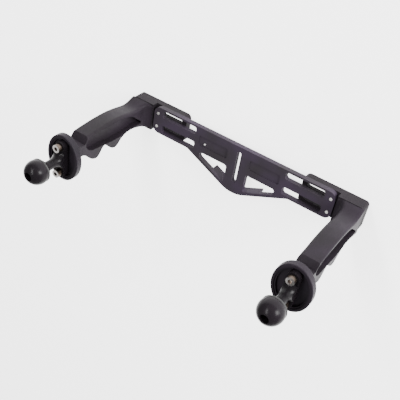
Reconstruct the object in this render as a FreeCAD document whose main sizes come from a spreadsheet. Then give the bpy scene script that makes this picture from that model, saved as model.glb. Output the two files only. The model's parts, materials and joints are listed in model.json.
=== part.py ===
import FreeCAD, Part
import math
import os

import Sketcher

# Underwater camera tray, in millimetres. X runs along the tray, the straight edge of the plate
# faces +Y, and the handles stand up along +Z. The tray rests on its brackets and its foot lip
# at Z = 0. The origin is in the middle of that footprint.

# Outline of the grip's pocket, as shares of the finger hollow's depth and of the height from the
# grip's foot to its shoulder.
POCKET_OUTLINE = (
    (0.860, 0.070), (0.684, 0.129), (0.520, 0.192), (0.361, 0.253), (0.230, 0.365), (0.186, 0.489),
    (0.186, 0.626), (0.197, 0.763), (0.230, 0.926), (0.454, 1.042), (0.725, 1.011), (0.911, 0.821),
    (0.974, 0.637), (0.988, 0.517), (0.974, 0.393), (0.948, 0.284), (0.907, 0.157),
)

document = FreeCAD.newDocument("CameraTray")
sheet = document.addObject("Spreadsheet::Sheet", "Sizes")

SIZES = {
    # where the straight edge of the plate lies
    "straight_edge": 27.85,
    # centre plate
    "plate_half_length": 113.3,
    "plate_width": 32.5,
    "plate_thickness": 6.0,
    "plate_corner": 8.0,
    "pin_end_break": 0.4,
    # bulge under the camera: straight sides that would meet in a point, rounded off
    "bulge_half_width": 64.7,
    "bulge_point": 62.7,
    "bulge_tip_radius": 33.0,
    "bulge_root_radius": 6.0,
    "bulge_rim": 3.67,
    "lip_half_width": 30.5,
    "lip_thickness": 3.4,
    # adjustment slots of the centre plate
    "slot_inner_end": 56.2,
    "slot_outer_end": 101.6,
    "upper_slot_top": 2.3,
    "upper_slot_bottom": 11.2,
    "lower_slot_margin": 2.4,
    "lower_slot_height": 9.6,
    "slot_corner": 2.8,
    # camera slot
    "camera_slot_width": 5.0,
    "camera_slot_top": 6.0,
    "camera_slot_bottom": 46.0,
    # triangular cut-outs
    "cutout_inner": 12.3,
    "cutout_root_gap": 16.7,
    "cutout_margin": 3.0,
    "cutout_corner": 2.8,
    # recessed pads each side of the camera slot
    "pad_inner": 14.0,
    "pad_outer": 51.0,
    "pad_top": 9.8,
    "pad_bottom": 21.8,
    "pad_depth": 1.2,
    "pad_corner": 2.0,
    # locating pin, pressed into the left pad
    "pin_position": 42.9,
    "pin_row": 17.8,
    "pin_diameter": 2.4,
    "pin_rise": 1.6,
    "pin_seat": 3.2,
    # bracket
    "bracket_inner_end": 73.2,
    "bracket_outer_end": 143.1,
    "bracket_thickness": 8.35,
    "bracket_corner": 5.0,
    "block_inner_face": 115.0,
    "block_height": 15.5,
    "block_corner": 4.0,
    # clamp screws and the stepped slots that they run in
    "screw_position": 108.4,
    "upper_screw": 8.4,
    "lower_screw_margin": 7.8,
    "screw_diameter": 4.0,
    "screw_head_diameter": 7.6,
    "screw_crown_diameter": 4.8,
    "screw_head_height": 2.2,
    "screw_end_break": 0.4,
    "washer_diameter": 9.0,
    "washer_bore": 4.3,
    "washer_thickness": 0.8,
    "hex_socket": 2.5,
    "socket_depth": 1.3,
    "thread_clearance": 0.05,
    "track_width": 4.8,
    "counterbore_width": 9.8,
    "counterbore_depth": 5.0,
    "track_inner_centre": 81.4,
    "track_outer_centre": 110.0,
    # grip
    "handle_position": 133.8,
    "grip_width": 20.4,
    "grip_top": 130.9,
    "grip_edge_round": 1.6,
    "palm_edge_round": 4.0,
    "palm_foot": 0.6,
    "palm_waist": 4.6,
    "palm_waist_share": 0.13,
    "palm_rise": 3.6,
    "palm_rise_share": 0.32,
    "palm_swell": 1.9,
    "palm_swell_share": 0.57,
    "palm_fall": 3.3,
    "palm_fall_share": 0.83,
    "palm_shoulder": 5.2,
    "shoulder_height": 110.5,
    "neck_top": 12.0,
    "neck_start": 116.0,
    "finger_foot_margin": 1.5,
    "finger_hollow": 26.9,
    "finger_hollow_height": 34.2,
    "finger_slope": 31.2,
    "finger_slope_height": 57.1,
    "finger_middle_hollow": 27.2,
    "finger_upper_hollow": 28.8,
    "finger_upper_rise": 13.5,
    "finger_ridge": 37.6,
    "ridge_half": 2.2,
    "ridge_lean": 0.4,
    "lower_ridge_height": 67.5,
    "upper_ridge_height": 98.0,
    "neck_bottom": 30.0,
    "foot_flare": 8.0,
    "flare_lip": 0.5,
    "foot_stock": 6.0,
    "pocket_depth": 7.6,
    # hand stop and ball mount
    "handle_axis": 22.6,
    "stop_half_width": 20.2,
    "stop_half_height": 26.2,
    "stop_thickness": 7.3,
    "stop_rim": 3.0,
    "stop_step": 1.6,
    "stop_step_depth": 1.2,
    "stop_floor": 3.6,
    "stop_edge_round": 1.0,
    "ball_diameter": 25.4,
    "ball_rise": 30.5,
    "ball_hole": 9.0,
    "ball_hole_depth": 10.0,
    "ring_section": 2.4,
    "ring_bite": 0.5,
    "ring_drop": 5.0,
    "neck_diameter": 10.0,
    "flare_height": 10.0,
    "flare_gap": 0.55,
    "base_width": 12.0,
    "base_thickness": 8.0,
    "ball_screw_spacing": 30.4,
    "ball_screw_head": 8.5,
    "ball_screw_head_height": 5.0,
    "ball_screw_socket": 4.0,
    "ball_screw_socket_depth": 2.5,
    "seat_clearance": 0.1,
    # grip bolts, countersunk from below, and the bolt that holds the hand stop
    "grip_bolt_diameter": 5.0,
    "grip_bolt_head": 9.6,
    "grip_bolt_socket": 3.0,
    "grip_bolt_socket_depth": 1.6,
    "grip_bolt_length": 25.0,
    "front_grip_bolt": 9.0,
    "rear_grip_bolt": 20.0,
    "stop_bolt_length": 18.0,
    "thread_run_out": 1.0,
}

for row, (alias, value) in enumerate(SIZES.items(), start=1):
    sheet.set("A%d" % row, alias.replace("_", " "))
    sheet.set("B%d" % row, str(value))
    sheet.setAlias("B%d" % row, alias)
document.recompute()


class Length:
    """A length worked out from the sheet: its value now, and the formula that keeps it bound."""

    def __init__(self, formula, value):
        self.formula = formula
        self.value = value

    def __add__(self, other):
        other = as_length(other)
        return Length("(%s + %s)" % (self.formula, other.formula), self.value + other.value)

    def __sub__(self, other):
        other = as_length(other)
        return Length("(%s - %s)" % (self.formula, other.formula), self.value - other.value)

    def __mul__(self, other):
        other = as_length(other)
        return Length("(%s * %s)" % (self.formula, other.formula), self.value * other.value)

    def __truediv__(self, other):
        other = as_length(other)
        return Length("(%s / %s)" % (self.formula, other.formula), self.value / other.value)

    def __neg__(self):
        return Length("(0 - %s)" % self.formula, -self.value)


def as_length(number):
    if isinstance(number, Length):
        return number
    return Length("(%.10g)" % number, float(number))


class Sheet:
    """Gives each named size of the sheet as a Length."""

    def __getattr__(self, alias):
        return Length("Sizes.%s" % alias, float(sheet.get(alias)))


S = Sheet()


def bind(thing, name, length):
    """Sets a property and keeps it bound to the sheet."""
    thing.setExpression(name, as_length(length).formula)


def add(kind, name, **lengths):
    """Adds a Part object with its sizes bound to the sheet."""
    thing = document.addObject(kind, name)
    for key, length in lengths.items():
        bind(thing, key, length)
    return thing


def place(thing, across, along, up):
    """Puts an object at a point that is worked out from the sheet."""
    bind(thing, ".Placement.Base.x", across)
    bind(thing, ".Placement.Base.y", along)
    bind(thing, ".Placement.Base.z", up)
    return thing


def combine(kind, name, base, tool):
    result = document.addObject(kind, name)
    result.Base = base
    result.Tool = tool
    return result


def fuse(name, things):
    result = document.addObject("Part::MultiFuse", name)
    result.Shapes = things
    result.Refine = True
    return result


def origin_plane(body, role):
    return [feature for feature in body.Origin.OriginFeatures if feature.Role == role][0]


def new_sketch(body, name, height):
    """A sketch parallel to the body's XY plane, at the given height."""
    sketch = body.newObject("Sketcher::SketchObject", name)
    sketch.AttachmentSupport = [(origin_plane(body, "XY_Plane"), "")]
    sketch.MapMode = "FlatFace"
    bind(sketch, ".AttachmentOffset.Base.z", height)
    return sketch


def pin_point(sketch, curve, end, across, along):
    """Fixes one point of a sketch by its two coordinates."""
    for kind, length in (("DistanceX", across), ("DistanceY", along)):
        length = as_length(length)
        index = sketch.addConstraint(Sketcher.Constraint(kind, -1, 1, curve, end, length.value))
        sketch.setExpression("Constraints[%d]" % index, length.formula)


def draw_polygon(sketch, corners):
    """Draws a closed polygon and pins each corner."""
    first = sketch.GeometryCount
    count = len(corners)
    ends = [FreeCAD.Vector(as_length(x).value, as_length(y).value, 0) for x, y in corners]
    for index in range(count):
        sketch.addGeometry(Part.LineSegment(ends[index], ends[(index + 1) % count]), False)
    for index in range(count):
        following = first + (index + 1) % count
        sketch.addConstraint(Sketcher.Constraint("Coincident", first + index, 2, following, 1))
    for index, (across, along) in enumerate(corners):
        pin_point(sketch, first + index, 1, across, along)


def draw_slot(sketch, start, end, radius):
    """Draws a slot with round ends round the centres start and end."""
    first = sketch.GeometryCount
    centres = [FreeCAD.Vector(as_length(x).value, as_length(y).value, 0) for x, y in (start, end)]
    heading = (centres[1] - centres[0]).normalize()
    side = FreeCAD.Vector(-heading.y, heading.x, 0) * radius.value
    angle = math.atan2(heading.y, heading.x)
    quarter = math.pi / 2
    up = FreeCAD.Vector(0, 0, 1)
    far = Part.ArcOfCircle(Part.Circle(centres[1], up, radius.value), angle - quarter, angle + quarter)
    near = Part.ArcOfCircle(Part.Circle(centres[0], up, radius.value), angle + quarter, angle + 3 * quarter)
    sketch.addGeometry(Part.LineSegment(centres[0] + side, centres[1] + side), False)
    sketch.addGeometry(far, False)
    sketch.addGeometry(Part.LineSegment(centres[1] - side, centres[0] - side), False)
    sketch.addGeometry(near, False)
    sketch.addConstraint(Sketcher.Constraint("Tangent", first, 2, first + 1, 2))
    sketch.addConstraint(Sketcher.Constraint("Tangent", first + 1, 1, first + 2, 1))
    sketch.addConstraint(Sketcher.Constraint("Tangent", first + 2, 2, first + 3, 2))
    sketch.addConstraint(Sketcher.Constraint("Tangent", first + 3, 1, first, 1))
    sketch.addConstraint(Sketcher.Constraint("Equal", first + 1, first + 3))
    index = sketch.addConstraint(Sketcher.Constraint("Radius", first + 1, radius.value))
    sketch.setExpression("Constraints[%d]" % index, radius.formula)
    pin_point(sketch, first + 1, 3, *end)
    pin_point(sketch, first + 3, 3, *start)


def draw_circle(sketch, across, along, radius):
    index = sketch.addGeometry(Part.Circle(FreeCAD.Vector(across.value, along.value, 0),
                                           FreeCAD.Vector(0, 0, 1), radius.value), False)
    constraint = sketch.addConstraint(Sketcher.Constraint("Radius", index, radius.value))
    sketch.setExpression("Constraints[%d]" % constraint, radius.formula)
    pin_point(sketch, index, 3, across, along)


def pad(body, name, sketch, length):
    feature = body.newObject("PartDesign::Pad", name)
    feature.Profile = sketch
    bind(feature, "Length", length)
    document.recompute()
    return feature


def pocket(body, name, sketch, depth):
    """Cuts downward from the sketch, and makes sure that material went."""
    before = body.Shape.Volume
    feature = body.newObject("PartDesign::Pocket", name)
    feature.Profile = sketch
    bind(feature, "Length", depth)
    document.recompute()
    if not feature.Shape.Volume < before:
        raise RuntimeError(name + " cuts nothing")
    return feature


def upright_edges(shape, corners):
    """Names of the edges that run along Z at the given corners."""
    names = []
    for number, edge in enumerate(shape.Edges, start=1):
        if len(edge.Vertexes) != 2:
            continue
        low, high = edge.Vertexes[0].Point, edge.Vertexes[1].Point
        if abs(low.z - high.z) < 0.1 or math.hypot(low.x - high.x, low.y - high.y) > 0.001:
            continue
        for across, along in corners:
            if math.hypot(low.x - as_length(across).value, low.y - as_length(along).value) < 0.01:
                names.append("Edge%d" % number)
    return names


def round_edges(body, name, names, radius):
    base = body.Tip
    feature = body.newObject("PartDesign::Fillet", name)
    feature.Base = (base, names)
    bind(feature, "Radius", radius)
    document.recompute()
    return feature


def both_sides(points):
    """The points, and their mirror images on the other side of the tray."""
    return points + [(-as_length(across), along) for across, along in points]


# levels and lines that several pieces share
plate_bottom = S.bracket_thickness
plate_top = plate_bottom + S.plate_thickness
bulge_slope = (S.bulge_point - S.plate_width) / S.bulge_half_width
pad_floor = plate_top - S.pad_depth
lower_slot_bottom = S.plate_width - S.lower_slot_margin
lower_screw = S.plate_width - S.lower_screw_margin
screw_rows = (S.upper_screw, lower_screw)
grip_inner_face = S.handle_position - S.grip_width / 2
stop_top = S.grip_top + S.stop_thickness
stop_floor_top = S.grip_top + S.stop_floor
base_top = stop_floor_top + S.base_thickness
ball_height = base_top + S.ball_rise
handle_line = S.straight_edge - S.handle_axis


def bulge_edge(across):
    """Y of the straight side of the bulge at a distance from the middle."""
    return bulge_slope * across - S.bulge_point


def make_centre_plate():
    body = document.addObject("PartDesign::Body", "centre_plate")
    slab = new_sketch(body, "PlateOutline", plate_bottom)
    end_corners = [(S.plate_half_length, as_length(0)), (S.plate_half_length, -S.plate_width)]
    roots = [(S.bulge_half_width, -S.plate_width)]
    tip = (as_length(0), -S.bulge_point)
    draw_polygon(slab, end_corners + roots + [tip]
                 + [(-across, along) for across, along in reversed(end_corners + roots)])
    pad(body, "Slab", slab, S.plate_thickness)

    lip = new_sketch(body, "LipOutline", as_length(0))
    outer_end = (S.lip_half_width, bulge_edge(S.lip_half_width))
    inner_end = (S.lip_half_width, bulge_edge(S.lip_half_width) + S.lip_thickness)
    inner_tip = (as_length(0), S.lip_thickness - S.bulge_point)
    draw_polygon(lip, [outer_end, tip, (-outer_end[0], outer_end[1]),
                       (-inner_end[0], inner_end[1]), inner_tip, inner_end])
    pad(body, "FootLip", lip, plate_bottom)

    rim_radius = S.bulge_tip_radius - S.lip_thickness
    round_edges(body, "EndCorners", upright_edges(body.Shape, both_sides(end_corners)), S.plate_corner)
    round_edges(body, "BulgeTip", upright_edges(body.Shape, [tip]), S.bulge_tip_radius)
    round_edges(body, "LipInside", upright_edges(body.Shape, [inner_tip]), rim_radius)
    round_edges(body, "BulgeRoots", upright_edges(body.Shape, both_sides(roots)), S.bulge_root_radius)

    slots = new_sketch(body, "AdjustmentSlots", plate_top)
    corners = []
    for top, bottom in ((S.upper_slot_top, S.upper_slot_bottom),
                        (lower_slot_bottom - S.lower_slot_height, lower_slot_bottom)):
        window = [(S.slot_inner_end, -top), (S.slot_outer_end, -top),
                  (S.slot_outer_end, -bottom), (S.slot_inner_end, -bottom)]
        draw_polygon(slots, window)
        draw_polygon(slots, [(-across, along) for across, along in window])
        corners += both_sides(window)
    pocket(body, "SlotCut", slots, S.plate_thickness)
    round_edges(body, "SlotCorners", upright_edges(body.Shape, corners), S.slot_corner)

    cutouts = new_sketch(body, "TriangularCutouts", plate_top)
    cutout_top = S.cutout_margin - S.plate_width
    cutout_outer = S.bulge_half_width - S.cutout_root_gap
    window = [(S.cutout_inner, cutout_top), (cutout_outer, cutout_top),
              (cutout_outer, bulge_edge(cutout_outer) + S.bulge_rim),
              (S.cutout_inner, bulge_edge(S.cutout_inner) + S.bulge_rim)]
    draw_polygon(cutouts, window)
    draw_polygon(cutouts, [(-across, along) for across, along in window])
    pocket(body, "CutoutCut", cutouts, S.plate_thickness)
    round_edges(body, "CutoutCorners", upright_edges(body.Shape, both_sides(window)), S.cutout_corner)

    holes = new_sketch(body, "SlotAndHoles", plate_top)
    half_width = S.camera_slot_width / 2
    draw_slot(holes, (as_length(0), -(S.camera_slot_top + half_width)),
              (as_length(0), half_width - S.camera_slot_bottom), half_width)
    for along in screw_rows:
        for across in (S.screw_position, -S.screw_position):
            draw_circle(holes, across, -along, S.screw_diameter / 2)
    pocket(body, "HoleCut", holes, S.plate_thickness)

    pads = new_sketch(body, "CameraPads", plate_top)
    window = [(S.pad_inner, -S.pad_top), (S.pad_outer, -S.pad_top),
              (S.pad_outer, -S.pad_bottom), (S.pad_inner, -S.pad_bottom)]
    draw_polygon(pads, window)
    draw_polygon(pads, [(-across, along) for across, along in window])
    pocket(body, "PadCut", pads, S.pad_depth)
    round_edges(body, "PadCorners", upright_edges(body.Shape, both_sides(window)), S.pad_corner)

    seat = new_sketch(body, "PinSeat", pad_floor)
    draw_circle(seat, -S.pin_position, -S.pin_row, S.pin_diameter / 2 + S.thread_clearance)
    pocket(body, "PinCut", seat, S.pin_seat)
    place(body, as_length(0), S.straight_edge, as_length(0))
    return body


def make_pin():
    """A plain pin with a broken end."""
    spot = (-S.pin_position, S.straight_edge - S.pin_row)
    shank_top = pad_floor + S.pin_rise - S.pin_end_break
    shank = post("PinShank", S.pin_diameter / 2, pad_floor - S.pin_seat,
                 S.pin_seat + S.pin_rise - S.pin_end_break, *spot)
    tip = add("Part::Cone", "PinTip", Radius1=S.pin_diameter / 2,
              Radius2=S.pin_diameter / 2 - S.pin_end_break, Height=S.pin_end_break)
    return fuse("locating_pin", [shank, place(tip, *spot, shank_top)])


def make_bracket():
    """The right bracket: a slotted plate with the end block in one piece."""
    body = document.addObject("PartDesign::Body", "right_bracket")
    plan = new_sketch(body, "BracketOutline", as_length(0))
    inner = [(S.bracket_inner_end, as_length(0)), (S.bracket_inner_end, -S.plate_width)]
    outer = [(S.bracket_outer_end, as_length(0)), (S.bracket_outer_end, -S.plate_width)]
    draw_polygon(plan, [inner[0], outer[0], outer[1], inner[1]])
    pad(body, "BracketPlate", plan, S.bracket_thickness)
    block = new_sketch(body, "BlockOutline", as_length(0))
    face = [(S.block_inner_face, as_length(0)), (S.block_inner_face, -S.plate_width)]
    draw_polygon(block, [face[0], outer[0], outer[1], face[1]])
    pad(body, "EndBlock", block, S.block_height)
    round_edges(body, "InnerCorners", upright_edges(body.Shape, inner), S.bracket_corner)
    round_edges(body, "OuterCorners", upright_edges(body.Shape, outer), S.block_corner)

    tracks = new_sketch(body, "Tracks", S.bracket_thickness)
    sinks = new_sketch(body, "Counterbores", S.counterbore_depth)
    for along in screw_rows:
        ends = ((S.track_inner_centre, -along), (S.track_outer_centre, -along))
        draw_slot(tracks, *ends, S.track_width / 2)
        draw_slot(sinks, *ends, S.counterbore_width / 2)
    pocket(body, "TrackCut", tracks, S.bracket_thickness)
    pocket(body, "CounterboreCut", sinks, S.counterbore_depth)

    bolts = new_sketch(body, "GripBoltHoles", S.block_height)
    for along in (S.front_grip_bolt, S.rear_grip_bolt):
        draw_circle(bolts, S.handle_position, -along, S.grip_bolt_diameter / 2 + S.seat_clearance)
    pocket(body, "BoltCut", bolts, S.block_height)
    place(body, as_length(0), S.straight_edge, as_length(0))

    countersinks = []
    for number, along in enumerate((S.front_grip_bolt, S.rear_grip_bolt), start=1):
        head_radius = S.grip_bolt_head / 2 + S.seat_clearance
        hole_radius = S.grip_bolt_diameter / 2 + S.seat_clearance
        cone = add("Part::Cone", "Countersink%d" % number, Radius1=head_radius, Radius2=hole_radius,
                   Height=head_radius - hole_radius)
        countersinks.append(place(cone, S.handle_position, S.straight_edge - along, as_length(0)))
    drilled = combine("Part::Cut", "right_bracket_solid", body, fuse("Countersinks", countersinks))
    drilled.Label = "right_bracket"
    return drilled


def spline(points):
    curve = Part.BSplineCurve()
    curve.interpolate([FreeCAD.Vector(0, y, z) for y, z in points])
    return curve.toShape()


def chain(points):
    """Straight edges through the points."""
    return [Part.LineSegment(start, end).toShape() for start, end in zip(points, points[1:])]


def side_outline():
    """The grip seen from its side, with stock below its foot."""
    foot = S.block_height.value
    below = foot - S.foot_stock.value
    rise = S.shoulder_height.value - foot
    palm = [(-S.palm_foot.value, below), (-S.palm_foot.value, foot)]
    for depth, share in ((S.palm_waist, S.palm_waist_share), (S.palm_rise, S.palm_rise_share),
                         (S.palm_swell, S.palm_swell_share), (S.palm_fall, S.palm_fall_share)):
        palm.append((-depth.value, foot + rise * share.value))
    palm.append((-S.palm_shoulder.value, S.shoulder_height.value))
    finger_foot = S.finger_foot_margin.value - S.plate_width.value
    ridge = -S.finger_ridge.value
    half = S.ridge_half.value
    low_ridge = S.lower_ridge_height.value
    high_ridge = S.upper_ridge_height.value
    fingers = [(finger_foot, below), (finger_foot, foot),
               (-S.finger_hollow.value, S.finger_hollow_height.value),
               (-S.finger_slope.value, S.finger_slope_height.value),
               (ridge, low_ridge - half), (ridge + S.ridge_lean.value, low_ridge + half),
               (-S.finger_middle_hollow.value, (low_ridge + high_ridge) / 2 + half),
               (ridge, high_ridge - half), (ridge + S.ridge_lean.value, high_ridge + half),
               (-S.finger_upper_hollow.value, high_ridge + S.finger_upper_rise.value),
               (-S.neck_bottom.value, S.grip_top.value)]
    neck = [palm[-1], (-S.neck_top.value, S.neck_start.value), (-S.neck_top.value, S.grip_top.value),
            fingers[-1]]
    edges = [spline(palm)] + chain([FreeCAD.Vector(0, y, z) for y, z in neck])
    edges.append(spline(fingers[::-1]))
    edges += chain([FreeCAD.Vector(0, y, z) for y, z in (fingers[0], palm[0])])
    return Part.Face(Part.Wire(edges))


def front_outline():
    """The grip seen along Y: straight sides, and a concave flare on the inner side of the foot."""
    flare = S.foot_flare.value
    lip = S.block_height.value + S.flare_lip.value
    below = S.block_height.value - S.foot_stock.value
    width = S.grip_width.value
    middle = flare * math.sqrt(0.5)
    bend = Part.Arc(FreeCAD.Vector(0, 0, lip + flare),
                    FreeCAD.Vector(middle - flare, 0, lip + flare - middle),
                    FreeCAD.Vector(-flare, 0, lip)).toShape()
    corners = [(-flare, lip), (-flare, below), (width, below), (width, S.grip_top.value),
               (0, S.grip_top.value), (0, lip + flare)]
    return Part.Face(Part.Wire([bend] + chain([FreeCAD.Vector(x, 0, z) for x, z in corners])))


def long_edges(form, across, palm):
    """The edges of the grip that run up one side of it, on the palm or on the fingers."""
    rise = S.shoulder_height.value - S.block_height.value
    middle = -S.finger_hollow.value / 2
    return [edge for edge in form.Edges
            if edge.BoundBox.XLength < 0.001 and abs(edge.BoundBox.XMin - across) < 0.001
            and edge.BoundBox.ZLength > rise / 2 and (edge.CenterOfMass.y > middle) == palm]


def pocket_tool():
    """What is cut out of each side of the grip: a leaf."""
    foot = S.block_height.value
    rise = S.shoulder_height.value - foot
    outline = Part.BSplineCurve()
    outline.interpolate([FreeCAD.Vector(0, -depth * S.finger_hollow.value, foot + share * rise)
                         for depth, share in POCKET_OUTLINE], PeriodicFlag=True)
    return Part.Face(Part.Wire([outline.toShape()])).extrude(FreeCAD.Vector(S.pocket_depth.value, 0, 0))


def make_grip():
    """The right grip: palm swell, finger ridges, a flared foot and a pocket in each side."""
    foot = S.block_height.value
    top = S.grip_top.value
    width = S.grip_width.value
    flare = S.foot_flare.value
    depth = S.finger_ridge.value + S.palm_edge_round.value
    side = side_outline().translated(FreeCAD.Vector(-flare, 0, 0))
    front = front_outline().extrude(FreeCAD.Vector(0, -depth, 0))
    form = side.extrude(FreeCAD.Vector(width + flare, 0, 0)).common(front)
    form = form.makeFillet(S.palm_edge_round.value, long_edges(form, 0, True))
    thin = long_edges(form, width, True) + long_edges(form, width, False) + long_edges(form, 0, False)
    form = form.makeFillet(S.grip_edge_round.value, thin)
    stock = Part.makeBox(width + 2 * flare, depth, foot, FreeCAD.Vector(-flare, -depth, 0))

    inner_cut = pocket_tool()
    outer_cut = inner_cut.mirror(FreeCAD.Vector(width / 2, 0, 0), FreeCAD.Vector(1, 0, 0))
    cuts = [stock, inner_cut, outer_cut]
    radius = S.grip_bolt_diameter.value / 2 + S.thread_clearance.value
    run_out = S.thread_run_out.value
    up = FreeCAD.Vector(0, 0, 1)
    for along in (S.front_grip_bolt.value, S.rear_grip_bolt.value):
        cuts.append(Part.makeCylinder(radius, S.grip_bolt_length.value - foot + run_out,
                                      FreeCAD.Vector(width / 2, -along, foot), up))
    stop_bore = S.stop_bolt_length.value - S.stop_floor.value + run_out
    cuts.append(Part.makeCylinder(radius, stop_bore,
                                  FreeCAD.Vector(width / 2, -S.handle_axis.value, top - stop_bore), up))
    grip = document.addObject("Part::Feature", "right_grip")
    grip.Shape = form.cut(cuts).removeSplitter()
    grip.Placement.Base = FreeCAD.Vector(grip_inner_face.value, S.straight_edge.value, 0)
    return grip


def oval(name, half_width, half_height, bottom, height, across, along):
    """An upright prism over an ellipse whose long axis runs along Y."""
    ellipse = add("Part::Ellipse", name + "Outline", MajorRadius=half_height, MinorRadius=half_width)
    ellipse.Placement.Rotation = FreeCAD.Rotation(FreeCAD.Vector(0, 0, 1), 90)
    place(ellipse, across, along, bottom)
    prism = document.addObject("Part::Extrusion", name)
    prism.Base = ellipse
    prism.DirMode = "Custom"
    prism.Dir = FreeCAD.Vector(0, 0, 1)
    prism.Solid = True
    bind(prism, "LengthFwd", height)
    return prism


def post(name, radius, bottom, height, across, along):
    cylinder = add("Part::Cylinder", name, Radius=radius, Height=height)
    return place(cylinder, across, along, bottom)


def ring_edges(shape, height, widest):
    """Names of the closed edges at a height that are about as wide as given."""
    names = []
    for number, edge in enumerate(shape.Edges, start=1):
        box = edge.BoundBox
        if box.ZLength < 0.001 and abs(box.ZMin - height) < 0.001 and abs(box.XLength - widest) < 0.01:
            names.append(number)
    return names


def make_hand_stop():
    across = S.handle_position
    along = handle_line
    blank = oval("StopBlank", S.stop_half_width, S.stop_half_height, S.grip_top, S.stop_thickness,
                 across, along)
    step = oval("StopStep", S.stop_half_width - S.stop_rim, S.stop_half_height - S.stop_rim,
                stop_top - S.stop_step_depth, S.stop_step_depth, across, along)
    recess_width = S.stop_half_width - S.stop_rim - S.stop_step
    recess_height = S.stop_half_height - S.stop_rim - S.stop_step
    recess = oval("StopRecess", recess_width, recess_height, stop_floor_top,
                  S.stop_thickness - S.stop_floor, across, along)
    bores = [post("StopBolt", S.grip_bolt_diameter / 2 + S.seat_clearance, S.grip_top, S.stop_floor,
                  across, along)]
    head_radius = S.grip_bolt_head / 2 + S.seat_clearance
    hole_radius = S.grip_bolt_diameter / 2 + S.seat_clearance
    sink = add("Part::Cone", "StopSink", Radius1=hole_radius, Radius2=head_radius,
               Height=head_radius - hole_radius)
    bores.append(place(sink, across, along, stop_floor_top - (head_radius - hole_radius)))
    for number, side in enumerate((1, -1), start=1):
        bores.append(post("StopThread%d" % number, S.grip_bolt_diameter / 2, S.grip_top, S.stop_floor,
                          across, along + S.ball_screw_spacing / 2 * side))
    document.recompute()
    edges = ring_edges(blank.Shape, stop_top.value, 2 * S.stop_half_width.value)
    edges += ring_edges(blank.Shape, S.grip_top.value, 2 * S.stop_half_width.value)
    rounded = document.addObject("Part::Fillet", "StopRounded")
    rounded.Base = blank
    radius = S.stop_edge_round.value
    rounded.Edges = [(number, radius, radius) for number in edges]
    return combine("Part::Cut", "right_hand_stop", rounded, fuse("StopCuts", [step, recess] + bores))


def make_ball_mount():
    """Ball, neck with a flared foot as wide as the base, and the round-ended base."""
    spot = (S.handle_position, handle_line)
    body = document.addObject("PartDesign::Body", "BallBase")
    plan = new_sketch(body, "BaseOutline", as_length(0))
    half = S.ball_screw_spacing / 2
    draw_slot(plan, (as_length(0), -half), (as_length(0), half), S.base_width / 2)
    pad(body, "BasePad", plan, S.base_thickness)
    place(body, *spot, stop_floor_top)

    neck_radius = S.neck_diameter / 2
    flare_radius = half - S.ball_screw_head / 2 - S.flare_gap
    spread = flare_radius - neck_radius
    bend = (S.flare_height * S.flare_height + spread * spread) / (spread * 2)
    blank = post("FlareBlank", flare_radius, base_top, S.flare_height, *spot)
    hollow = add("Part::Torus", "FlareHollow", Radius1=neck_radius + bend, Radius2=bend)
    place(hollow, *spot, base_top + S.flare_height)
    flare = combine("Part::Cut", "NeckFlare", blank, hollow)
    flats = add("Part::Box", "BaseFlats", Length=S.base_width, Width=flare_radius * 2, Height=S.flare_height)
    place(flats, S.handle_position - S.base_width / 2, handle_line - flare_radius, base_top)
    flared = combine("Part::Common", "FlatFlare", flare, flats)

    neck = post("BallNeck", neck_radius, base_top, S.ball_rise, *spot)
    ball = place(add("Part::Sphere", "Ball", Radius=S.ball_diameter / 2), *spot, ball_height)
    solid = fuse("BallSolid", [body, flared, neck, ball])
    cuts = [post("BallHole", S.ball_hole / 2, ball_height + S.ball_diameter / 2 - S.ball_hole_depth,
                 S.ball_hole_depth, *spot)]
    groove = add("Part::Torus", "RingGroove", Radius1=ring_radius(),
                 Radius2=S.ring_section / 2 + S.thread_clearance)
    cuts.append(place(groove, *spot, ball_height - S.ring_drop))
    for number, side in enumerate((1, -1), start=1):
        cuts.append(post("BaseHole%d" % number, S.grip_bolt_diameter / 2 + S.seat_clearance,
                         stop_floor_top, S.base_thickness, S.handle_position, handle_line + half * side))
    return combine("Part::Cut", "right_ball_mount", solid, fuse("BallCuts", cuts))


def ring_radius():
    """Radius of the circle that the O-ring's section runs along, just under the ball's surface."""
    squared = S.ball_diameter * S.ball_diameter / 4 - S.ring_drop * S.ring_drop
    return Length("sqrt%s" % squared.formula, math.sqrt(squared.value)) - S.ring_bite


def make_ring():
    ring = add("Part::Torus", "right_ball_ring", Radius1=ring_radius(), Radius2=S.ring_section / 2)
    return place(ring, S.handle_position, handle_line, ball_height - S.ring_drop)


def hex_prism(name, width, bottom, height, across, along):
    prism = document.addObject("Part::Prism", name)
    prism.Polygon = 6
    bind(prism, "Circumradius", width / math.sqrt(3))
    bind(prism, "Height", height)
    return place(prism, across, along, bottom)


def make_clamp_screw(name, across, along):
    """Button-head screw from below: its washer bears on the ledge of the bracket's slot."""
    under_head = S.counterbore_depth - S.washer_thickness
    head_bottom = under_head - S.screw_head_height
    shank_radius = S.screw_diameter / 2 - S.thread_clearance
    length = plate_top - under_head
    head = add("Part::Cone", name + "Head", Radius1=S.screw_crown_diameter / 2,
               Radius2=S.screw_head_diameter / 2, Height=S.screw_head_height)
    place(head, across, along, head_bottom)
    shank = post(name + "Shank", shank_radius, under_head, length - S.screw_end_break, across, along)
    tip = add("Part::Cone", name + "Tip", Radius1=shank_radius, Radius2=shank_radius - S.screw_end_break,
              Height=S.screw_end_break)
    place(tip, across, along, plate_top - S.screw_end_break)
    socket = hex_prism(name + "Socket", S.hex_socket, head_bottom, S.socket_depth, across, along)
    return combine("Part::Cut", name, fuse(name + "Blank", [head, shank, tip]), socket)


def make_clamp_washer(name, across, along):
    bottom = S.counterbore_depth - S.washer_thickness
    disc = post(name + "Disc", S.washer_diameter / 2, bottom, S.washer_thickness, across, along)
    bore = post(name + "Bore", S.washer_bore / 2, bottom, S.washer_thickness, across, along)
    return combine("Part::Cut", name, disc, bore)


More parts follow.
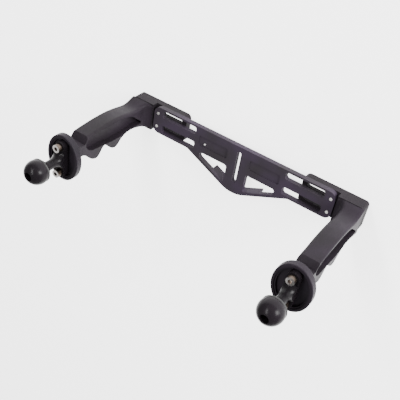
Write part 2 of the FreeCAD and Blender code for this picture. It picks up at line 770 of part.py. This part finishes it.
def make_countersunk(name, across, along, face, up, length):
    """Countersunk bolt whose flat head is flush with a face, with its shank along +Z or -Z."""
    head_radius = S.grip_bolt_head / 2
    shank_radius = S.grip_bolt_diameter / 2
    depth = head_radius - shank_radius
    if up:
        head = add("Part::Cone", name + "Head", Radius1=head_radius, Radius2=shank_radius, Height=depth)
        place(head, across, along, face)
        shank = post(name + "Shank", shank_radius, face, length, across, along)
        socket = hex_prism(name + "Socket", S.grip_bolt_socket, face, S.grip_bolt_socket_depth,
                           across, along)
    else:
        head = add("Part::Cone", name + "Head", Radius1=shank_radius, Radius2=head_radius, Height=depth)
        place(head, across, along, face - depth)
        shank = post(name + "Shank", shank_radius, face - length, length, across, along)
        socket = hex_prism(name + "Socket", S.grip_bolt_socket, face - S.grip_bolt_socket_depth,
                           S.grip_bolt_socket_depth, across, along)
    return combine("Part::Cut", name, fuse(name + "Blank", [head, shank]), socket)


def make_ball_screw(name, along):
    """Socket cap screw through the ball mount's base into the hand stop."""
    across = S.handle_position
    shank_radius = S.grip_bolt_diameter / 2 - S.thread_clearance
    head = post(name + "Head", S.ball_screw_head / 2, base_top, S.ball_screw_head_height, across, along)
    shank = post(name + "Shank", shank_radius, S.grip_top, base_top - S.grip_top, across, along)
    socket = hex_prism(name + "Socket", S.ball_screw_socket,
                       base_top + S.ball_screw_head_height - S.ball_screw_socket_depth,
                       S.ball_screw_socket_depth, across, along)
    return combine("Part::Cut", name, fuse(name + "Blank", [head, shank]), socket)


def mirrored(piece, name):
    """The left-hand twin of a right-hand piece."""
    twin = document.addObject("Part::Mirroring", name)
    twin.Source = piece
    twin.Normal = FreeCAD.Vector(1, 0, 0)
    twin.Base = FreeCAD.Vector(0, 0, 0)
    return twin


nodes = {"centre_plate": make_centre_plate(), "locating_pin": make_pin()}
right = {"bracket": make_bracket(), "grip": make_grip(), "hand_stop": make_hand_stop(),
         "ball_mount": make_ball_mount(), "ball_ring": make_ring()}
for place_word, row in (("upper", S.upper_screw), ("lower", lower_screw)):
    spot = (S.screw_position, S.straight_edge - row)
    right[place_word + "_clamp_screw"] = make_clamp_screw("right_%s_clamp_screw" % place_word, *spot)
    right[place_word + "_clamp_washer"] = make_clamp_washer("right_%s_clamp_washer" % place_word, *spot)
for place_word, row in (("upper", S.front_grip_bolt), ("lower", S.rear_grip_bolt)):
    right[place_word + "_grip_bolt"] = make_countersunk(
        "right_%s_grip_bolt" % place_word, S.handle_position, S.straight_edge - row,
        as_length(0), True, S.grip_bolt_length)
right["stop_bolt"] = make_countersunk("right_stop_bolt", S.handle_position, handle_line,
                                      stop_floor_top, False, S.stop_bolt_length)
for place_word, side in (("upper", 1), ("lower", -1)):
    right[place_word + "_ball_screw"] = make_ball_screw(
        "right_%s_ball_screw" % place_word, handle_line + S.ball_screw_spacing / 2 * side)

for word, piece in right.items():
    nodes["right_" + word] = piece
    nodes["left_" + word] = mirrored(piece, "left_" + word)

document.recompute()

for thing in document.Objects:
    if "Invalid" in thing.State or "Error" in thing.State:
        raise RuntimeError("%s failed: %s" % (thing.Name, thing.State))

os.makedirs("parts", exist_ok=True)
for node, piece in nodes.items():
    piece.Label = node
    shape = piece.Shape
    if shape.isNull() or not shape.isValid() or len(shape.Solids) != 1:
        raise RuntimeError("%s is not one valid solid" % node)
    print(node, round(shape.Volume, 1))
for node, piece in nodes.items():
    piece.Shape.exportStep("parts/%s.step" % node)
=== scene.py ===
import json
import math

import bpy
from mathutils import Matrix, Vector

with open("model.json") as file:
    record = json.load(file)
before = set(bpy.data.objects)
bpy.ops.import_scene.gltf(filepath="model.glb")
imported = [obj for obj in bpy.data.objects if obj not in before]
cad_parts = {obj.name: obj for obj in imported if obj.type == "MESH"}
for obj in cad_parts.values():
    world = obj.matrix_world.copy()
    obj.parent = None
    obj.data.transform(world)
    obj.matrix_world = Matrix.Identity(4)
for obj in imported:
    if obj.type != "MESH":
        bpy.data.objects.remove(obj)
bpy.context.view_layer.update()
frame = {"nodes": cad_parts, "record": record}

# The camera stands where the photograph was taken: high over the right handle, rolled so that
# the tray's straight edge is at the top. The photograph is square, 400 pixels a side.
PHOTO_PIXELS = 400
FOCAL_PIXELS = 662.8
SENSOR_MM = 36.0
CAMERA_PLACE = (0.25199, 0.39816, 0.54717)
CAMERA_AIM = (-0.04395, -0.07533, 0.0)
CAMERA_ROLL = math.radians(-127.789)
CLIP_START = 0.01

# The room is pale all round. The floor glows too, so the tray throws next to no shadow on it.
WHITE = (1.0, 1.0, 1.0, 1.0)
ROOM_GLOW = 0.85
FLOOR_COLOUR = (0.9, 0.9, 0.9, 1.0)
FLOOR_ROUGHNESS = 0.8
FLOOR_GLOW = 2.8
FLOOR_SIZE = 12.0
FLOOR_DROP = 0.0003

# The share of a texture's range over which a value, or a colour, goes from one end to the other.
VALUE_START, VALUE_END = 0.3, 0.7
COLOUR_START, COLOUR_END = 0.35, 0.65


def looking_at(place, aim):
    """The placing of a camera or a light that stands at one point and faces another."""
    turn = (Vector(aim) - Vector(place)).to_track_quat("-Z", "Y").to_matrix().to_4x4()
    return Matrix.Translation(place) @ turn


def make_camera():
    data = bpy.data.cameras.new("Camera")
    data.sensor_width = SENSOR_MM
    data.lens = FOCAL_PIXELS / PHOTO_PIXELS * SENSOR_MM
    data.clip_start = CLIP_START
    camera = bpy.data.objects.new("Camera", data)
    bpy.context.scene.collection.objects.link(camera)
    roll = Matrix.Rotation(CAMERA_ROLL, 4, "Z")
    camera.matrix_world = looking_at(CAMERA_PLACE, CAMERA_AIM) @ roll
    bpy.context.scene.camera = camera


class Shader:
    """A Principled material with object-space texture nodes behind it."""

    def __init__(self, name, metallic, roughness, gloss=0.5):
        self.material = bpy.data.materials.new(name)
        self.material.use_nodes = True
        self.nodes = self.material.node_tree.nodes
        self.links = self.material.node_tree.links
        self.surface = self.nodes["Principled BSDF"]
        self.surface.inputs["Metallic"].default_value = metallic
        self.surface.inputs["Roughness"].default_value = roughness
        self.surface.inputs["Specular IOR Level"].default_value = gloss
        self.place = self.nodes.new("ShaderNodeTexCoord").outputs["Object"]

    def noise(self, scale, detail):
        texture = self.nodes.new("ShaderNodeTexNoise")
        texture.inputs["Scale"].default_value = scale
        texture.inputs["Detail"].default_value = detail
        self.links.new(self.place, texture.inputs["Vector"])
        return texture.outputs["Fac"]

    def blend_range(self, factor, low, high, start=VALUE_START, end=VALUE_END):
        """Maps a texture to a range of values."""
        ramp = self.nodes.new("ShaderNodeMapRange")
        ramp.inputs["From Min"].default_value = start
        ramp.inputs["From Max"].default_value = end
        ramp.inputs["To Min"].default_value = low
        ramp.inputs["To Max"].default_value = high
        self.links.new(factor, ramp.inputs["Value"])
        return ramp.outputs["Result"]

    def mix_colours(self, factor, first, second):
        ramp = self.nodes.new("ShaderNodeValToRGB")
        start, end = ramp.color_ramp.elements
        start.position, end.position = COLOUR_START, COLOUR_END
        start.color, end.color = (*first, 1.0), (*second, 1.0)
        self.links.new(factor, ramp.inputs["Fac"])
        self.links.new(ramp.outputs["Color"], self.surface.inputs["Base Color"])

    def roughness_from(self, factor, low, high):
        self.links.new(self.blend_range(factor, low, high), self.surface.inputs["Roughness"])

    def bump_from(self, factor, depth, strength):
        bump = self.nodes.new("ShaderNodeBump")
        bump.inputs["Distance"].default_value = depth
        bump.inputs["Strength"].default_value = strength
        self.links.new(factor, bump.inputs["Height"])
        self.links.new(bump.outputs["Normal"], self.surface.inputs["Normal"])


def anodised(name, first, second, roughness, gloss):
    """Bead-blasted and anodised aluminium: fine matt grain, slightly uneven dye."""
    shader = Shader(name, metallic=0.0, roughness=roughness, gloss=gloss)
    shader.mix_colours(shader.noise(scale=28.0, detail=3.0), first, second)
    shader.roughness_from(shader.noise(scale=160.0, detail=4.0), roughness - 0.02, roughness + 0.03)
    shader.bump_from(shader.noise(scale=2600.0, detail=2.0), depth=0.00003, strength=0.5)
    return shader.material


def moulded(name, first, second, roughness, gloss):
    """Moulded plastic with a fine spark-eroded texture."""
    shader = Shader(name, metallic=0.0, roughness=roughness, gloss=gloss)
    shader.mix_colours(shader.noise(scale=22.0, detail=2.0), first, second)
    shader.roughness_from(shader.noise(scale=120.0, detail=3.0), roughness - 0.05, roughness + 0.05)
    shader.bump_from(shader.noise(scale=1900.0, detail=3.0), depth=0.00004, strength=0.6)
    return shader.material


def turning_marks(shader):
    shader.bump_from(shader.noise(scale=1500.0, detail=2.0), depth=0.00002, strength=0.4)


def stainless(name, colour, worn, roughness):
    """Bright turned steel with fine turning marks."""
    shader = Shader(name, metallic=1.0, roughness=roughness)
    shader.mix_colours(shader.noise(scale=400.0, detail=2.0), colour, worn)
    shader.roughness_from(shader.noise(scale=900.0, detail=2.0), roughness - 0.06, roughness + 0.08)
    turning_marks(shader)
    return shader.material


def cap_screw_steel():
    """Socket cap screws: bright steel on top, with painted shade on the knurled sides, which turn
    dark brown by the way they face.
    """
    # Painted shade: faces that point sideways get a dark brown, and faces that point up get bright
    # steel.
    painted_side_shade, bright = (0.085, 0.066, 0.055), (0.86, 0.82, 0.79)
    shader = Shader("cap_screw_steel", metallic=1.0, roughness=0.30)
    face = shader.nodes.new("ShaderNodeNewGeometry")
    axes = shader.nodes.new("ShaderNodeSeparateXYZ")
    shader.links.new(face.outputs["Normal"], axes.inputs["Vector"])
    upward = shader.blend_range(axes.outputs["Z"], 0.0, 1.0, start=0.2, end=0.9)
    shader.mix_colours(upward, painted_side_shade, bright)
    shader.roughness_from(shader.noise(scale=900.0, detail=2.0), 0.24, 0.38)
    turning_marks(shader)
    return shader.material


def rubber():
    """Matt black rubber for the O-rings in the arms."""
    shader = Shader("rubber", metallic=0.0, roughness=0.75)
    grain = shader.noise(scale=300.0, detail=2.0)
    shader.mix_colours(grain, (0.012, 0.012, 0.012), (0.02, 0.02, 0.02))
    shader.bump_from(shader.noise(scale=2200.0, detail=2.0), depth=0.00003, strength=0.4)
    return shader.material


def dress_nodes():
    """Gives each node the look of its material slot, and the ball screws their own."""
    looks = {
        "plate": anodised("plate_anodised", (0.026, 0.022, 0.026), (0.034, 0.025, 0.039),
                          roughness=0.60, gloss=0.07),
        "bracket": anodised("bracket_anodised", (0.011, 0.009, 0.011), (0.015, 0.012, 0.015),
                            roughness=0.54, gloss=0.045),
        "grip": moulded("grip_moulded", (0.012, 0.010, 0.012), (0.017, 0.013, 0.018),
                        roughness=0.44, gloss=0.045),
        "hand_stop": moulded("stop_moulded", (0.012, 0.010, 0.013), (0.017, 0.013, 0.018),
                             roughness=0.42, gloss=0.06),
        "ball": anodised("ball_anodised", (0.005, 0.004, 0.005), (0.008, 0.006, 0.008),
                         roughness=0.27, gloss=0.08),
        "rubber_ring": rubber(),
        "stainless": stainless("stainless", (0.90, 0.89, 0.87), (0.82, 0.80, 0.78),
                               roughness=0.34),
    }
    cap_screws = cap_screw_steel()
    for part in frame["record"]["subparts"]:
        material = looks[part["material_slot"]]
        if part["node"].endswith("ball_screw"):
            material = cap_screws
        for slot in frame["nodes"][part["node"]].material_slots:
            slot.material = material


def make_floor():
    """A pale light table, just under the tray's feet."""
    bpy.ops.mesh.primitive_plane_add(size=FLOOR_SIZE, location=(0.0, 0.0, -FLOOR_DROP))
    floor = bpy.context.object
    floor.name = "floor"
    shader = Shader("floor_white", metallic=0.0, roughness=FLOOR_ROUGHNESS)
    shader.surface.inputs["Base Color"].default_value = FLOOR_COLOUR
    shader.surface.inputs["Emission Color"].default_value = WHITE
    shader.surface.inputs["Emission Strength"].default_value = FLOOR_GLOW
    floor.data.materials.append(shader.material)


def make_light(name, place, aim, size, power):
    data = bpy.data.lights.new(name, "AREA")
    data.shape = "RECTANGLE"
    data.size, data.size_y = size
    data.energy = power
    light = bpy.data.objects.new(name, data)
    bpy.context.scene.collection.objects.link(light)
    light.matrix_world = looking_at(place, aim)


def make_studio():
    """A far softbox low on the right, a weak one behind the straight edge, a strip overhead that
    streaks the balls, and a pale room."""
    world = bpy.data.worlds.new("Studio")
    world.use_nodes = True
    background = world.node_tree.nodes["Background"]
    background.inputs["Color"].default_value = WHITE
    background.inputs["Strength"].default_value = ROOM_GLOW
    bpy.context.scene.world = world
    make_light("right_softbox", place=(1.9, 1.1, 0.6), aim=(-0.1, 0.0, 0.08),
               size=(1.0, 0.8), power=100.0)
    make_light("edge_softbox", place=(0.0, 1.1, 0.7), aim=(0.0, 0.0, 0.05),
               size=(1.4, 0.6), power=1.5)
    make_light("strip_softbox", place=(-0.20, 0.56, 1.17), aim=(0.05, 0.0, 0.1),
               size=(0.09, 0.9), power=13.0)


make_camera()
dress_nodes()
make_floor()
make_studio()
